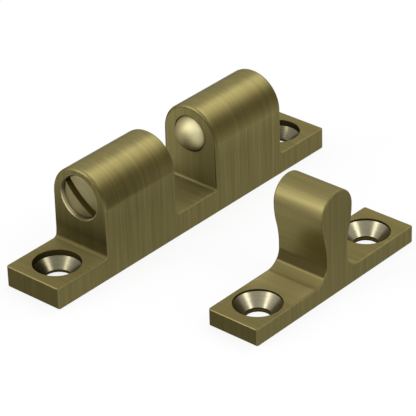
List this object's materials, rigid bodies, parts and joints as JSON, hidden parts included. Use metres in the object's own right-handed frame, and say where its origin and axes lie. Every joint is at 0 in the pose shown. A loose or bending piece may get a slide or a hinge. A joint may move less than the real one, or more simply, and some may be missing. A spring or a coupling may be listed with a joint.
{
  "type": "ball catch",
  "caption": "Adjustable double ball catch in antique brass: arched towers hold sprung balls that grip a separate strike plate's bulbous tongue.",
  "frame": {"origin": "centre of the catch's underside, which lies on the mounting surface", "axes": "+X along the catch from one screw hole to the other, +Z out of the mounting surface, towards the towers; the strike lies beside the catch on the -Y side"},
  "size_m": [0.06, 0.0384, 0.0168],
  "materials": {
    "body": "brushed antique brass",
    "ball": "polished",
    "screw": "fine-turned antique brass",
    "spring": "drawn spring wire",
    "strike": "brushed antique brass"
  },
  "bodies": {
    "catch": {"catch_body": "body", "strike": "strike"},
    "left_ball": {"left_ball": "ball"},
    "right_ball": {"right_ball": "ball"},
    "left_spring_end": {"left_spring": "spring"},
    "left_screw": {"left_tension_screw": "screw"},
    "right_spring_end": {"right_spring": "spring"},
    "right_screw": {"right_tension_screw": "screw"}
  },
  "joints": [
    {"name": "left_ball_press", "type": "slide", "parent": "catch", "child": "left_ball", "axis": [-1, 0, 0], "range_m": [0, 0.0019], "stiffness_N_per_m": 2500, "springref_m": -0.002, "deforming": ["left_spring"]},
    {"name": "right_ball_press", "type": "slide", "parent": "catch", "child": "right_ball", "axis": [1, 0, 0], "range_m": [0, 0.0019], "stiffness_N_per_m": 2500, "springref_m": -0.002, "deforming": ["right_spring"]},
    {"name": "left_tension_travel", "type": "slide", "parent": "catch", "child": "left_spring_end", "axis": [1, 0, 0], "range_m": [-0.00038, 0.0015]},
    {"name": "left_tension_turn", "type": "hinge", "parent": "left_spring_end", "child": "left_screw", "pos_m": [-0.0175, 0, 0.0118], "axis": [1, 0, 0], "range_deg": [-180.5, 720.5]},
    {"name": "right_tension_travel", "type": "slide", "parent": "catch", "child": "right_spring_end", "axis": [-1, 0, 0], "range_m": [-0.00038, 0.0015]},
    {"name": "right_tension_turn", "type": "hinge", "parent": "right_spring_end", "child": "right_screw", "pos_m": [0.0175, 0, 0.0118], "axis": [-1, 0, 0], "range_deg": [-180.5, 720.5]}
  ],
  "couplings": [
    {"joint": "left_tension_turn", "follows": "left_tension_travel", "rad_per_m": 8377.6},
    {"joint": "right_tension_turn", "follows": "right_tension_travel", "rad_per_m": 8377.6}
  ]
}
